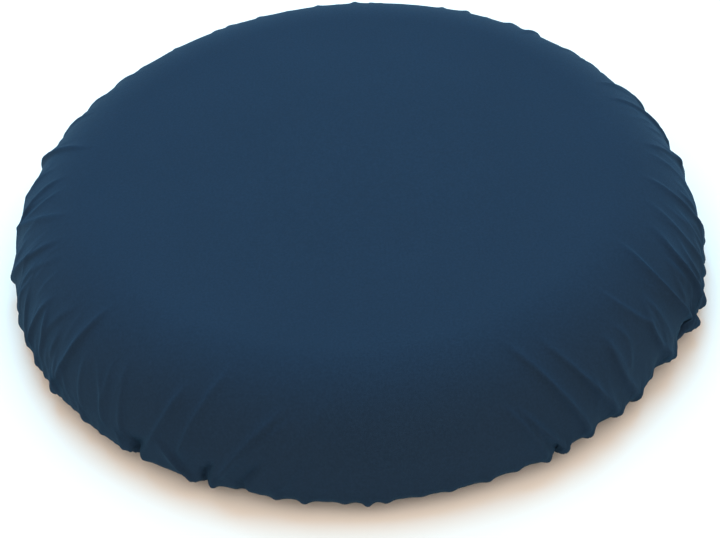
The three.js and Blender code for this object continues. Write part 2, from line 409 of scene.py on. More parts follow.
# Below the waist the folds run on under the cushion and are drawn together by the elastic.
GATHERS = 136
GATHER_HEIGHT = 2.5
GATHER_MIDDLE = 3.3
FLOOR_CLEARANCE = 0.3
UNDER_ROOM = 6.4
HEM_LAYERS_APART = 2.2
HEM_ROOM = CORE_LIFT - 0.6 - HEM_LAYERS_APART
HEM_TURN_ROWS = 7
GATHERS_START = 14
FOLD_MOST = 3.5
UNDER_FROM = 4


def gathers(azimuth):
    """Pleats of uneven width and height, between -1 and 1."""
    draw = np.random.default_rng(SEED + 1)
    wander = np.zeros_like(azimuth)
    swell = np.ones_like(azimuth)
    turns = np.radians(azimuth)
    for waves in range(3, 40, 4):
        turn_by = draw.uniform(-1, 1) * 1.6 / math.sqrt(waves)
        wander += turn_by * np.sin(waves * turns + draw.uniform(0, 6.3))
        swell += draw.uniform(-1, 1) * 0.22 * np.sin(2 * waves * turns + draw.uniform(0, 6.3))
    return np.clip(swell, 0.35, 1.25) * np.sin(GATHERS * turns + wander)


def designed_rings(cloth):
    """The folded cloth, each ring a dense closed curve."""
    azimuth = np.linspace(0, 360, DENSITY * COLUMNS, endpoint=False)
    field = fold_field(cloth, azimuth)
    turns = np.radians(azimuth)[None]
    radius, height = (value[:, None] for value in profile(cloth))
    out, up = (value[:, None] for value in profile_normal(cloth))
    under = smooth((cloth - WAIST) / (FLOOR - WAIST))[:, None]
    hem = smooth((cloth - WAIST - GATHERS_START) / (HEM - WAIST - GATHERS_START))[:, None]
    wave = GATHER_HEIGHT * hem * gathers(azimuth)[None]
    loose = np.tanh(field / FOLD_MOST) * FOLD_MOST * (1 - 0.75 * hem)
    above = height + up * field
    below = height + GATHER_MIDDLE * under + up * field * (1 - under) - loose * under + wave
    room = UNDER_ROOM + (HEM_ROOM - UNDER_ROOM) * hem
    below = FLOOR_CLEARANCE + soft_limit(below - FLOOR_CLEARANCE, room - FLOOR_CLEARANCE)
    mouth, mouth_height = open_at_floor(cloth[:, None] / RADIUS, azimuth)
    below += mouth * (mouth_height - below)
    z = np.where(cloth[:, None] > WAIST + UNDER_FROM, below, above)
    r = radius + out * field + outline_shift(azimuth, radius)
    return polar(r, turns, z + 0 * turns)


def soft_limit(value, most):
    """Keeps a value between 0 and `most`, bending towards the limits instead of being cut."""
    value = np.where(value < 1, np.exp(np.minimum(value, 1) - 1), value)
    left = most - value
    return most - np.where(left < 1, np.exp(np.minimum(left, 1) - 1), left)


def measured(ring):
    """A closed ring of points with its first repeated, and the length from the first to each."""
    closed = np.concatenate([ring, ring[:1]])
    along = np.concatenate([[0], np.cumsum(np.linalg.norm(np.diff(closed, axis=0), axis=1))])
    return closed, along


def points_at(where, along, points):
    """The points at the lengths `where` on a measured line."""
    return np.stack([np.interp(where, along, points[:, axis]) for axis in range(3)], -1)


def spread_evenly(rings):
    """Resamples each closed ring at COLUMNS points a constant length apart. Returns them and the lengths."""
    grid = np.zeros((len(rings), COLUMNS, 3))
    lengths = np.zeros(len(rings))
    turns = np.linspace(0, 2 * math.pi, rings.shape[1], endpoint=False)
    for row, ring in enumerate(rings):
        closed, along = measured(ring)
        lengths[row] = along[-1]
        drift = np.angle(np.mean(np.exp(1j * (2 * math.pi * along[:-1] / along[-1] - turns))))
        wanted = (np.arange(COLUMNS) / COLUMNS + drift / (2 * math.pi)) % 1.0 * along[-1]
        grid[row] = points_at(wanted, along, closed)
    return grid, lengths


def pull(a, b, rest, stiffness):
    """Moves two sets of points towards their rest distance, each half of the way."""
    gap = b - a
    length = np.sqrt((gap * gap).sum(-1))
    shift = (0.5 * stiffness * (length - rest) / np.maximum(length, 1e-6))[..., None] * gap
    a += shift
    b -= shift


def pull_round(grid, rest, stiffness, reach=1):
    """Pulls each column and the one `reach` further round together, in groups that share no point."""
    for offset in range(reach + 1):
        rolled = np.roll(grid, -offset, axis=1)
        pull(rolled[:, ::2 * reach], rolled[:, reach::2 * reach], rest, stiffness)
        grid = np.roll(rolled, offset, axis=1)
    return grid


def relax(grid, ring_rest, row_steps, steps):
    """A position-based cloth: threads keep their length and the cloth resists bending."""
    rest = ring_rest[:, None]
    step = row_steps[:, None]
    slant = np.hypot((ring_rest[:-1] + ring_rest[1:]) / 2, row_steps)[:, None]
    speed = np.zeros_like(grid)
    start = grid.copy()
    for _ in range(steps):
        before = grid.copy()
        grid = grid + speed
        grid = pull_round(grid, rest, THREAD)
        grid = pull_round(grid, 2 * rest, BEND_ROUND, reach=2)
        for first in (0, 1):
            upper, lower = grid[first:-1:2], grid[first + 1::2]
            pull(upper, lower, step[first::2], THREAD)
            for side in (1, -1):
                shifted = np.roll(lower, side, axis=1)
                pull(upper, shifted, slant[first::2], SHEAR)
                lower[:] = np.roll(shifted, -side, axis=1)
        for first in range(4):
            upper, lower = grid[first:-2:4], grid[first + 2::4]
            pull(upper, lower, (step[:-1] + step[1:])[first::4], BEND_ALONG)
        grid[0] = start[0]
        grid[-1] = start[-1]
        grid += HOLD * (start - grid)
        grid[..., 2] = np.maximum(grid[..., 2], FLOOR_CLEARANCE)
        speed = KEEP_SPEED * (grid - before)
    return grid


def cloth_rows():
    """The rows' lengths of cloth from the centre, from FIRST_ROW to the hem."""
    at, spacing = np.array(ROW_SPACING).T
    fine = np.linspace(FIRST_ROW, HEM, 40 * ROWS)
    rows_passed = np.concatenate([[0], np.cumsum(1 / np.interp(fine[1:], at, spacing))])
    return np.interp(np.linspace(0, rows_passed[-1], ROWS), rows_passed, fine)


def cover_grid():
    """The rows' lengths of cloth, and the settled cover's points by row and column."""
    cloth = cloth_rows()
    grid, lengths = spread_evenly(designed_rings(cloth))
    grid = relax(grid, lengths / COLUMNS, np.diff(cloth), RELAX_STEPS)
    return cloth, grid


# ---- mesh making
DISC_RINGS = 24
FEWEST_ROUND = 32
HEM_TURN_RADIUS = 3.0


def full_turn(steps):
    return np.arange(steps) / steps * 2 * math.pi


def new_object(name, vertices, faces, flat=None):
    """A smooth-shaded object from points in mm; `flat` gives each point's place on the flat cloth, in mm."""
    mesh = bpy.data.meshes.new(name)
    mesh.from_pydata((np.asarray(vertices) * MM).tolist(), [], [list(map(int, face)) for face in faces])
    mesh.polygons.foreach_set("use_smooth", [True] * len(mesh.polygons))
    if flat is not None:
        corners = np.zeros(len(mesh.loops), int)
        mesh.loops.foreach_get("vertex_index", corners)
        layer = mesh.uv_layers.new(name="flat")
        layer.data.foreach_set("uv", (np.asarray(flat)[corners] * MM).ravel())
    mesh.validate()
    mesh.update()
    return link(name, mesh)


def round_faces(rows, columns, closed=False):
    """Quads between closed rings of points that lie row after row; `closed` joins the last to the first."""
    row, column = np.arange(rows if closed else rows - 1)[:, None], np.arange(columns)[None]
    ahead, below = (column + 1) % columns, (row + 1) % rows
    corners = ((row, column), (below, column), (below, ahead), (row, ahead))
    return np.stack([across + down * columns for down, across in corners], -1).reshape(-1, 4).tolist()


def crown_height(radius):
    """How far the filling lifts the top's middle."""
    return CROWN * (1 - smooth(radius / (TOP_FLAT_RADIUS + 20)))


def top_disc(outer_points, outer_cloth):
    """Rings from the first cloth row to the centre, with half the points each time they get crowded."""
    vertices, faces = [], []
    count, first = len(outer_points), 0
    ring = outer_points
    next_index = count
    crowded = 0.4 * (outer_cloth[0] - outer_cloth[1])
    for cloth in outer_cloth[1:]:
        halve = 2 * math.pi * cloth / count < crowded and count > FEWEST_ROUND
        shrunk = ring[::2] if halve else ring
        shrunk = shrunk * np.array([1, 1, 0]) * (cloth / np.hypot(shrunk[:, :1], shrunk[:, 1:2]))
        shrunk[:, 2] = HEIGHT
        half = len(shrunk)
        for i in range(half):
            ahead = (i + 1) % half
            if halve:
                a, b, c = first + 2 * i, first + 2 * i + 1, first + (2 * i + 2) % count
                p, q = next_index + i, next_index + ahead
                faces += [(a, b, p), (b, q, p), (b, c, q)]
            else:
                faces.append((first + i, first + ahead, next_index + ahead, next_index + i))
        vertices.append(shrunk)
        ring, first, count = shrunk, next_index, half
        next_index += half
    centre = np.array([[0, 0, HEIGHT]])
    vertices.append(centre)
    faces += [(first + i, first + (i + 1) % count, next_index) for i in range(count)]
    return np.concatenate(vertices), faces


def ring_at(grid, cloth, back):
    """The ring of cloth `back` mm before the hem fold."""
    place = np.interp(HEM - back, cloth, np.arange(len(cloth)))
    low = min(int(place), len(cloth) - 2)
    return grid[low] + (grid[low + 1] - grid[low]) * (place - low)


def lifted(points, lift):
    return points + np.array([0, 0, lift])


def hem_layer(grid, cloth):
    """The cloth turned back up at the hem, above the cloth it came from."""
    rows = np.linspace(0, HEM_WIDTH, HEM_TURN_ROWS)[1:]
    layer = []
    for back in rows:
        lift = HEM_LAYERS_APART * math.sqrt(min(1, back / HEM_TURN_RADIUS))
        layer.append(lifted(ring_at(grid, cloth, back), lift))
    return np.array(layer), HEM + rows


def make_cover():
    """The whole sheet: the settled rows, the turned-up hem and the top's middle. Also its rows and points."""
    cloth, grid = cover_grid()
    turned, turned_cloth = hem_layer(grid, cloth)
    sheet = np.concatenate([grid, turned])
    sheet_cloth = np.concatenate([cloth, turned_cloth])
    vertices = sheet.reshape(-1, 3)
    faces = round_faces(len(sheet), COLUMNS)
    disc, disc_faces = top_disc(grid[0], np.linspace(FIRST_ROW, 0, DISC_RINGS, endpoint=False))
    shift = len(vertices) - COLUMNS
    moved = [[corner + shift if corner >= COLUMNS else corner for corner in face] for face in disc_faces]
    vertices = np.concatenate([vertices, disc])
    high = vertices[:, 2] > HEIGHT / 2
    reach = np.hypot(vertices[:, 0], vertices[:, 1])
    vertices[high, 2] += crown_height(reach[high])
    flat = polar(sheet_cloth[:, None], full_turn(COLUMNS))
    flat = np.concatenate([flat.reshape(-1, 2), disc[:, :2]])
    return new_object("fitted_cover", vertices, faces + moved, flat), cloth, grid


cover, cover_lengths, cover_points = make_cover()


# ---- materials
def add_node(tree, kind, inputs=None, **settings):
    node = tree.nodes.new(kind)
    for key, value in settings.items():
        setattr(node, key, value)
    for key, value in (inputs or {}).items():
        if isinstance(value, bpy.types.NodeSocket):
            tree.links.new(value, node.inputs[key])
        else:
            node.inputs[key].default_value = value
    return node


def calculate(tree, operation, first, second=0.0, third=0.0):
    return add_node(tree, "ShaderNodeMath", {0: first, 1: second, 2: third}, operation=operation).outputs[0]


def scaled(tree, value, factor, plus=0.0):
    return calculate(tree, "MULTIPLY_ADD", value, factor, plus)


def new_material(name):
    material = bpy.data.materials.new(name)
    material.use_nodes = True
    tree = material.node_tree
    return material, tree, tree.nodes["Principled BSDF"]


def set_inputs(shader, **values):
    for key, value in values.items():
        shader.inputs[key.replace("_", " ")].default_value = value


def object_place(tree):
    return add_node(tree, "ShaderNodeTexCoord").outputs["Object"]


def add_bump(tree, shader, relief, height_mm):
    bump = add_node(tree, "ShaderNodeBump", {"Height": relief, "Distance": height_mm * MM, "Strength": 1.0})
    tree.links.new(bump.outputs[0], shader.inputs["Normal"])


def vary_roughness(tree, shader, share, low, high):
    rough = add_node(tree, "ShaderNodeMapRange", {0: share, 3: low, 4: high})
    tree.links.new(rough.outputs[0], shader.inputs["Roughness"])


def ripple(tree, distance, per_metre):
    """A sine along `distance`, with its angle in radians per metre."""
    return calculate(tree, "SINE", scaled(tree, distance, per_metre))


def noise(tree, vector, scale, detail=2.0, roughness=0.5):
    inputs = {"Vector": vector, "Scale": scale, "Detail": detail, "Roughness": roughness}
    return add_node(tree, "ShaderNodeTexNoise", inputs).outputs["Fac"]


def stretched(tree, vector, scale):
    return add_node(tree, "ShaderNodeMapping", {"Vector": vector, "Scale": scale}).outputs[0]


def paint(tree, shader, share, colour, contrast):
    """Base colour between a darker and a lighter tone of `colour`."""
    tint = add_node(tree, "ShaderNodeMix", data_type="RGBA")
    tree.links.new(share, tint.inputs[0])
    tint.inputs[6].default_value = [value * (1 - contrast) for value in colour] + [1]
    tint.inputs[7].default_value = [value * (1 + contrast) for value in colour] + [1]
    tree.links.new(tint.outputs[2], shader.inputs["Base Color"])


def woven(name, colour, pitch_mm, *, relief_mm, roughness, sheen, sheen_tint, contrast=0.13):
    """Plain-woven cloth: crossing threads, uneven yarn, faint mottling and a soft matte surface."""
    material, tree, shader = new_material(name)
    flat = add_node(tree, "ShaderNodeUVMap", uv_map="flat").outputs[0]
    along = add_node(tree, "ShaderNodeSeparateXYZ", {0: flat})
    warp, weft = (ripple(tree, along.outputs[i], math.pi / (pitch_mm * MM)) for i in (0, 1))
    weave = scaled(tree, warp, weft)
    warp_yarn = noise(tree, stretched(tree, flat, (2200, 90, 1)), 1.0)
    weft_yarn = noise(tree, stretched(tree, flat, (90, 2200, 1)), 1.0)
    yarn = calculate(tree, "ADD", warp_yarn, weft_yarn)
    place = object_place(tree)
    mottle = noise(tree, place, 160, detail=4.0)
    slubs = noise(tree, place, 700, detail=3.0)
    drift = scaled(tree, noise(tree, place, 14), 0.5)
    uneven = scaled(tree, slubs, 2.0, scaled(tree, yarn, 0.4, scaled(tree, mottle, 0.3, drift)))
    share = add_node(tree, "ShaderNodeMapRange", {0: uneven, 1: 1.5, 2: 2.6}).outputs[0]
    paint(tree, shader, share, colour, contrast)
    vary_roughness(tree, shader, mottle, roughness - 0.06, roughness + 0.05)
    relief = scaled(tree, yarn, 0.5, scaled(tree, mottle, 0.6, weave))
    add_bump(tree, shader, relief, relief_mm)
    set_inputs(shader, Specular_IOR_Level=0.08, Sheen_Weight=sheen, Sheen_Roughness=0.5,
               Sheen_Tint=(*sheen_tint, 1))
    return material


def finish_piece(piece, material, slot, *nodes):
    piece.data.materials.append(material)
    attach(piece, BODY)
    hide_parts(*nodes)
    return piece


NAVY = (0.0106, 0.0258, 0.0530)
navy_cloth = woven("navy_cloth", NAVY, 0.4, relief_mm=0.03, roughness=0.9, sheen=0.06,
                   sheen_tint=(0.0, 0.53, 1.0))

finish_piece(cover, navy_cloth, "cover_cloth", "cover_cloth")


# ---- the pad's own layers
COVER_CLOTH = 0.8
LINING_CLOTH = 0.6
GAP = 0.4
WADDING = 8
LINING_INSET = COVER_CLOTH + GAP
WADDING_INSET = LINING_INSET + LINING_CLOTH + GAP
FOAM_INSET = WADDING_INSET + WADDING + GAP
UPPER_SEAM_ANGLE = 56.25
LOWER_SEAM_RADIUS = 187
REST_RADIUS = 144
REST_STEP = 4
FOAM_CORNER = 4
# Where the lining's side turns in under the pad, and where it is flat there.
UNDER_FLAT_RADIUS = 203
# The soft pad yields a little wider and deeper than the tucks, out from where it rests.
YIELD_WIDER = 5.0
YIELD_DEEPER = 1.1
YIELD_FROM = REST_RADIUS + 8
YIELD_RAMP = 24
TOP_STEPS, SIDE_STEPS = 14, 26
SEAM_ANGLE = math.degrees((LINING_CLOTH + 2 * GAP) / (HEIGHT - WAIST_HEIGHT))
SIDES = 240


def arc(centre_radius, half_width, half_height, start, end, steps):
    """Points (radius, height) of an elliptical arc centred at waist height, between two angles in degrees."""
    turns = np.radians(np.linspace(start, end, steps + 1))
    return [(centre_radius + half_width * math.cos(t), WAIST_HEIGHT + half_height * math.sin(t))
            for t in turns]


def top_edge(inset, start=90, end=0, steps=36):
    """The rounded edge from the flat top to the waist, `inset` mm inside the profile."""
    half_width = RADIUS - TOP_FLAT_RADIUS - inset
    return arc(TOP_FLAT_RADIUS, half_width, HEIGHT - WAIST_HEIGHT - inset, start, end, steps)


def lower_edge(inset, height, steps=8):
    half_height = WAIST_HEIGHT - inset
    end = math.degrees(math.asin((WAIST_HEIGHT - height) / half_height))
    return arc(FLOOR_RADIUS, RADIUS - FLOOR_RADIUS - inset, half_height, 0, -end, steps)[1:]


def arc_length(points):
    return float(sum(math.dist(a, b) for a, b in zip(points, points[1:])))


def level(start_radius, end_radius, height, steps=24):
    return [(float(radius), height) for radius in np.linspace(start_radius, end_radius, steps + 1)]


def pressed_in(radius, height, azimuth, slack):
    """How far the cover's tucks push the pad inwards, past `slack` mm of give."""
    nearest = np.argmin((PROFILE_RADIUS - radius) ** 2 + (PROFILE_HEIGHT - height) ** 2)
    share = np.array([[PROFILE_CLOTH[nearest] / RADIUS]])
    depth = tuck_depth(share, np.degrees(azimuth), radius, widen=YIELD_WIDER)[0] * YIELD_DEEPER
    return np.maximum(depth - slack, 0) * smooth((radius - YIELD_FROM) / YIELD_RAMP)


def unevenness(radius, height, azimuth, seed, waves=9):
    """A smooth value between about -1 and 1 that wanders over the surface."""
    draw = np.random.default_rng(seed)
    total = np.zeros_like(azimuth)
    for _ in range(waves):
        round_it = draw.integers(5, 60)
        across = draw.uniform(0.02, 0.16)
        total += np.sin(round_it * azimuth + across * (radius - height) + draw.uniform(0, 6.3))
    return total / math.sqrt(waves)


def lathe(name, outline, *, slack=0.0, rough_mm=0.0, pressed_to=None, seed=1):
    """Turns an outline of (radius, height) round the axis. It starts and ends there, or closes on itself.

    The points up to pressed_to are outside surfaces, which the cover's tucks push inwards.
    """
    azimuth = np.linspace(0, 2 * math.pi, SIDES, endpoint=False)
    on_axis = outline[0][0] == 0
    rings = outline[1:-1] if on_axis else outline
    offset = 1 if on_axis else 0
    pressed_to = len(outline) if pressed_to is None else pressed_to
    vertices, flat, walked = [], [], 0.0
    whole_way = arc_length(outline)
    previous = outline[0]
    for index, (radius, height) in enumerate(rings):
        walked += math.hypot(radius - previous[0], height - previous[1])
        previous = (radius, height)
        inward = rough_mm * 0.5 * (1 + unevenness(radius, height, azimuth, seed))
        if index + offset < pressed_to:
            inward = inward + pressed_in(radius, height, azimuth, slack)
        place = radius + outline_shift(np.degrees(azimuth), radius) - inward * smooth((radius - 20) / 100)
        vertices.append(polar(place, azimuth, np.full(SIDES, float(height))))
        reach = min(walked, whole_way - walked) if on_axis else radius
        flat.append(polar(reach, azimuth))
    faces = round_faces(len(rings), SIDES, closed=not on_axis)
    vertices, flat = np.concatenate(vertices), np.concatenate(flat)
    if on_axis:
        ends = np.array([[0, 0, outline[0][1]], [0, 0, outline[-1][1]]])
        last = len(vertices) - SIDES
        top, bottom = len(vertices), len(vertices) + 1
        faces += [(top, i, (i + 1) % SIDES) for i in range(SIDES)]
        faces += [(bottom, last + (i + 1) % SIDES, last + i) for i in range(SIDES)]
        vertices = np.concatenate([vertices, ends])
        flat = np.concatenate([flat, np.zeros((2, 2))])
    return new_object(name, vertices, faces, flat)


def shell(outer, inner):
    return [*outer, *inner[::-1]]


def lining_top_line(inset):
    """One face of the lining's top, from the axis to the upper seam."""
    height = HEIGHT - inset
    return [(0, height), *level(12, TOP_FLAT_RADIUS - 2, height),
            *top_edge(inset, 90, UPPER_SEAM_ANGLE, TOP_STEPS)]


def lining_side_line(inset, bottom):
    """One face of the lining's side, from the upper seam to the lower."""
    return [*top_edge(inset, UPPER_SEAM_ANGLE - SEAM_ANGLE, 0, SIDE_STEPS), *lower_edge(inset, bottom),
            *level(UNDER_FLAT_RADIUS, LOWER_SEAM_RADIUS, bottom, 8)]


def make_lining_top():
    faces = (lining_top_line(inset) for inset in (LINING_INSET, LINING_INSET + LINING_CLOTH))
    return lathe("lining_top_panel", shell(*faces))


def make_lining_side():
    faces = (lining_side_line(LINING_INSET + cloth, CORE_LIFT + cloth) for cloth in (0, LINING_CLOTH))
    return lathe("lining_side_panel", shell(*faces))


def make_lining_bottom():
    """The panel inside the lower seam, which steps down through the hem's opening to the seat."""
    edge = LOWER_SEAM_RADIUS - LINING_CLOTH - 2 * GAP
    step = [(REST_RADIUS + REST_STEP, CORE_LIFT), (REST_RADIUS + 3.2, CORE_LIFT - 1.2),
            (REST_RADIUS + 0.8, 1.2), (REST_RADIUS, 0.3), (REST_RADIUS - 2, 0.0)]
    outer = [*level(edge, REST_RADIUS + REST_STEP + 2, CORE_LIFT, 12), *step,
             *level(REST_RADIUS - 6, 12, 0.0, 30), (0, 0.0)]
    inner = [(max(radius - LINING_CLOTH * (height < CORE_LIFT), 0), height + LINING_CLOTH)
             for radius, height in outer[:-1]]
    inner.append((0, LINING_CLOTH))
    return lathe("lining_bottom_panel", [*inner[::-1], *outer])


def make_foam():
    rest, pressed = LINING_CLOTH + GAP, CORE_LIFT + LINING_CLOTH + GAP
    widest, top = RADIUS - FOAM_INSET, HEIGHT - FOAM_INSET
    outline = [(0, top), *level(10, TOP_FLAT_RADIUS - 3, top, 30), *top_edge(FOAM_INSET),
               (widest - 1.2, WAIST_HEIGHT - 1.1), (widest - FOAM_CORNER, pressed + GAP),
               *level(widest - FOAM_CORNER - 4, REST_RADIUS + REST_STEP, pressed, 12),
               (REST_RADIUS - LINING_CLOTH - GAP, rest + 0.4), *level(REST_RADIUS - 6, 10, rest, 24),
               (0, rest)]
    return lathe("foam_disc", outline, slack=6.0, rough_mm=0.5, seed=11)


def make_wadding_top():
    top = HEIGHT - WADDING_INSET
    edge = TOP_FLAT_RADIUS - GAP
    outline = [(0, top), *level(10, edge - 4, top, 30), (edge - 1.2, top - 0.3), (edge, top - 1.4),
               (edge, top - WADDING + 1.4), (edge - 1.2, top - WADDING + 0.3),
               *level(edge - 4, 10, top - WADDING, 30), (0, top - WADDING)]
    return lathe("wadding_disc", outline, rough_mm=0.6, seed=12)


def make_wadding_side():
    outer, inner = top_edge(WADDING_INSET, steps=48), top_edge(WADDING_INSET + WADDING, steps=48)
    return lathe("wadding_ring", shell(outer, inner), rough_mm=0.5, pressed_to=len(outer), seed=13)


# ---- hem, elastic and stitches
STITCH_PITCH = 2.6
STITCH_GAP = 0.5
THREAD_RADIUS = 0.22
STITCH_EDGE = 2.2
THREAD_SUNK = 0.1
TACK_THREAD_RADIUS = 0.12
LABEL_THREAD_RADIUS = 0.16
SEAM_COIL_RADIUS = 0.34
SEAM_COIL_FLATNESS = 0.4
SEAM_THREAD_RADIUS = 0.1
LABEL_LENGTH, LABEL_WIDTH = 22, 18
ELASTIC_NEAR = (HEM_WIDTH - ELASTIC_WIDTH) / 2
# Heights over the cover's lower layer.
ELASTIC_UNDERSIDE, ELASTIC_TOP, TACK_HEIGHT = 0.7, 1.5, 1.58
ELASTIC_STRETCH = 1.6


def over_cover(back, lift):
    """The cover's ring `back` mm of cloth before the hem fold, raised by `lift`."""
    return lifted(ring_at(cover_points, cover_lengths, back), lift)


def make_elastic():
    """Flat elastic that follows the gathers between the two layers of the casing."""
    across = np.linspace(ELASTIC_NEAR, ELASTIC_NEAR + ELASTIC_WIDTH, 7)
    rings = [over_cover(back, ELASTIC_UNDERSIDE) for back in across]
    rings += [over_cover(back, ELASTIC_TOP) for back in across[::-1]]
    faces = round_faces(len(rings), COLUMNS, closed=True)
    around = full_turn(COLUMNS) * HEM_RADIUS * ELASTIC_STRETCH
    flat = [np.stack([around, np.full(COLUMNS, back)], -1) for back in [*across, *across[::-1]]]
    return new_object("gathered_elastic", np.concatenate(rings), faces, np.concatenate(flat))


def unit(vectors):
    return vectors / (np.linalg.norm(vectors, axis=1, keepdims=True) + 1e-9)


def thread_ring(along, aside, sides):
    """Unit offsets round the middle of each thread, from its direction and one to the side of it."""
    across = unit(np.cross(along, aside))
    over = np.cross(along, across)
    turns = full_turn(sides)
    return across[:, None] * np.cos(turns)[None, :, None] + over[:, None] * np.sin(turns)[None, :, None]


def threads(name, starts, ends, radius, sides=6):
    """Short lengths of thread with drawn-in ends."""
    ring = thread_ring(unit(ends - starts), (0.31, 0.17, 0.93), sides)
    rings = []
    for share, fat in ((0.0, 0.3), (0.16, 1.0), (0.84, 1.0), (1.0, 0.3)):
        centre = starts + (ends - starts) * share
        rings.append(centre[:, None] + radius * fat * ring)
    vertices = np.stack(rings, 1).reshape(-1, 3)
    size = len(rings) * sides
    one = [*round_faces(len(rings), sides), range(sides), range(size - 1, size - 1 - sides, -1)]
    faces = [[corner + first for corner in face] for first in range(0, len(vertices), size) for face in one]
    return new_object(name, vertices, faces)


def stitched_along(name, ring):
    """One row of lockstitch along a closed ring of points."""
    closed, along = measured(ring)
    count = int(along[-1] / STITCH_PITCH)
    at = np.arange(count) * along[-1] / count
    ends = at + along[-1] / count - STITCH_GAP
    return threads(name, points_at(at, along, closed), points_at(ends, along, closed), THREAD_RADIUS)


def make_hem_stitches():
    rows = ("hem_stitches_inner", STITCH_EDGE), ("hem_stitches_outer", HEM_WIDTH - STITCH_EDGE)
    return [stitched_along(name, over_cover(back, -THREAD_SUNK)) for name, back in rows]


def make_elastic_tack():
    """Three zigzag passes over the elastic where its ends overlap, on its upper face."""
    across = np.linspace(ELASTIC_NEAR + 0.8, ELASTIC_NEAR + ELASTIC_WIDTH - 0.8, 9)
    corners = []
    for column, way in ((2, 1), (5, -1), (8, 1)):
        for step, back in enumerate(across[::way]):
            corners.append(over_cover(back, TACK_HEIGHT)[column + step % 2])
    corners = np.array(corners)
    return threads("elastic_join_stitches", corners[:-1], corners[1:], TACK_THREAD_RADIUS)


def make_seam(name, radius, height, out, up, loops=420):
    """Overlocked thread: one closed coil wound round a seam, lying across it."""
    turns = np.linspace(0, 2 * math.pi, loops * 8, endpoint=False)
    swing = loops * turns
    across, over = np.cos(swing), np.sin(swing) * SEAM_COIL_FLATNESS
    wide = radius + outline_shift(np.degrees(turns), radius) + SEAM_COIL_RADIUS * (out * across - up * over)
    tall = height + SEAM_COIL_RADIUS * (up * across + out * over)
    return sweep_closed(name, polar(wide, turns, tall), SEAM_THREAD_RADIUS)


def sweep_closed(name, line, radius, sides=5):
    """A round thread along a closed line."""
    along = unit(np.roll(line, -1, 0) - np.roll(line, 1, 0))
    ring = thread_ring(along, unit(line * np.array([1, 1, 0])), sides)
    vertices = (line[:, None] + radius * ring).transpose(1, 0, 2).reshape(-1, 3)
    return new_object(name, vertices, round_faces(sides, len(line), closed=True))


def label_frame():
    """The label's start, and its directions along and across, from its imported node."""
    low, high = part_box("care_label")
    centre = (low + high) / 2 / MM
    away = Vector((centre.x, centre.y, 0)).normalized()
    start = Vector((centre.x, centre.y, 0)) - away * LABEL_LENGTH / 2
    return start, away, Vector((-away.y, away.x, 0)), low.z / MM


def make_label():
    """A blank satin label with a slight curl at its free end."""
    start, away, across, bottom = label_frame()
    long, wide = 24, 20
    vertices, flat, faces = [], [], []
    for side, lift in ((0, 0.0), (1, 0.25)):
        for i in range(long + 1):
            for j in range(wide + 1):
                u, v = i / long, j / wide - 0.5
                curl = 0.35 * u * u * (1 - 2 * abs(v)) + 0.08 * math.sin(9 * u + 4 * v)
                spot = start + away * (u * LABEL_LENGTH) + across * (v * LABEL_WIDTH)
                vertices.append((spot.x, spot.y, bottom + lift + max(curl, 0)))
                flat.append((u * LABEL_LENGTH, v * LABEL_WIDTH))

    def index(side, i, j):
        return (side * (long + 1) + i) * (wide + 1) + j

    def rim(a, b, way):
        faces.append((index(0, *a), index(0, *b), index(1, *b), index(1, *a))[::way])

    for i in range(long):
        for j in range(wide):
            square = ((i, j), (i + 1, j), (i + 1, j + 1), (i, j + 1))
            faces.append([index(1, *corner) for corner in square])
            faces.append([index(0, *corner) for corner in (square[0], *square[:0:-1])])
    for i in range(long):
        rim((i, 0), (i + 1, 0), 1)
        rim((i, wide), (i + 1, wide), -1)
    for j in range(wide):
        rim((0, j), (0, j + 1), -1)
        rim((long, j), (long, j + 1), 1)
    return new_object("blank_label", vertices, faces, flat)


def make_label_stitches():
    start, away, across, bottom = label_frame()
    count, inset = 7, 1.8
    at = np.linspace(-0.42, 0.42, count + 1) * LABEL_WIDTH
    line = [np.array(start + away * inset + across * float(v)) + (0, 0, bottom - 0.12) for v in at]
    starts = np.array(line[:-1])
    ends = starts + 0.8 * (np.array(line[1:]) - starts)
    return threads("label_stitches", starts, ends, LABEL_THREAD_RADIUS)


# ---- other materials
RIB_PITCH, CORD_PITCH = 0.9, 1.0


def rib_material(name, colour):
    """Woven elastic: close ribs across the band and cords along it, with painted shade in the hollows between
    them.
    """
    material, tree, shader = new_material(name)
    flat = add_node(tree, "ShaderNodeUVMap", uv_map="flat").outputs[0]
    parts = add_node(tree, "ShaderNodeSeparateXYZ", {0: flat})
    ribs = ripple(tree, parts.outputs[0], 2 * math.pi / (RIB_PITCH * MM))
    cords = ripple(tree, parts.outputs[1], 2 * math.pi / (CORD_PITCH * MM))
    relief = scaled(tree, ribs, 0.4, cords)
    # The colour follows the relief, darker where it is low: painted shade in the hollows between ribs and
    # cords.
    shade = add_node(tree, "ShaderNodeMapRange", {0: relief, 1: -1.4, 2: 1.4}).outputs[0]
    paint(tree, shader, shade, colour, 0.1)
    add_bump(tree, shader, relief, 0.12)
    set_inputs(shader, Roughness=0.75)
    return material


def fibre_material(name, colour, scale, relief_mm, contrast, roughness, stretch=(1, 1, 1)):
    """Thread, wadding or satin: fine noise in the colour and in the relief."""
    material, tree, shader = new_material(name)
    place = object_place(tree)
    fibres = noise(tree, stretched(tree, place, stretch), scale, detail=5.0, roughness=0.65)
    paint(tree, shader, fibres, colour, contrast)
    add_bump(tree, shader, fibres, relief_mm)
    vary_roughness(tree, shader, fibres, roughness - 0.08, roughness + 0.05)
    return material


def foam_material(name, colour):
    """Cut open-cell foam: small pits of uneven size, with painted shade in them."""
    material, tree, shader = new_material(name)
    place = object_place(tree)
    cells = add_node(tree, "ShaderNodeTexVoronoi", {"Vector": place, "Scale": 900.0}).outputs["Distance"]
    soft = noise(tree, place, 60)
    # The colour darkens with the cells that make the pits: painted shade in the pits, with random tone from
    # the soft noise.
    paint(tree, shader, scaled(tree, cells, 0.8, scaled(tree, soft, 0.4)), colour, 0.14)
    add_bump(tree, shader, cells, 0.5)
    set_inputs(shader, Roughness=0.95)
    return material


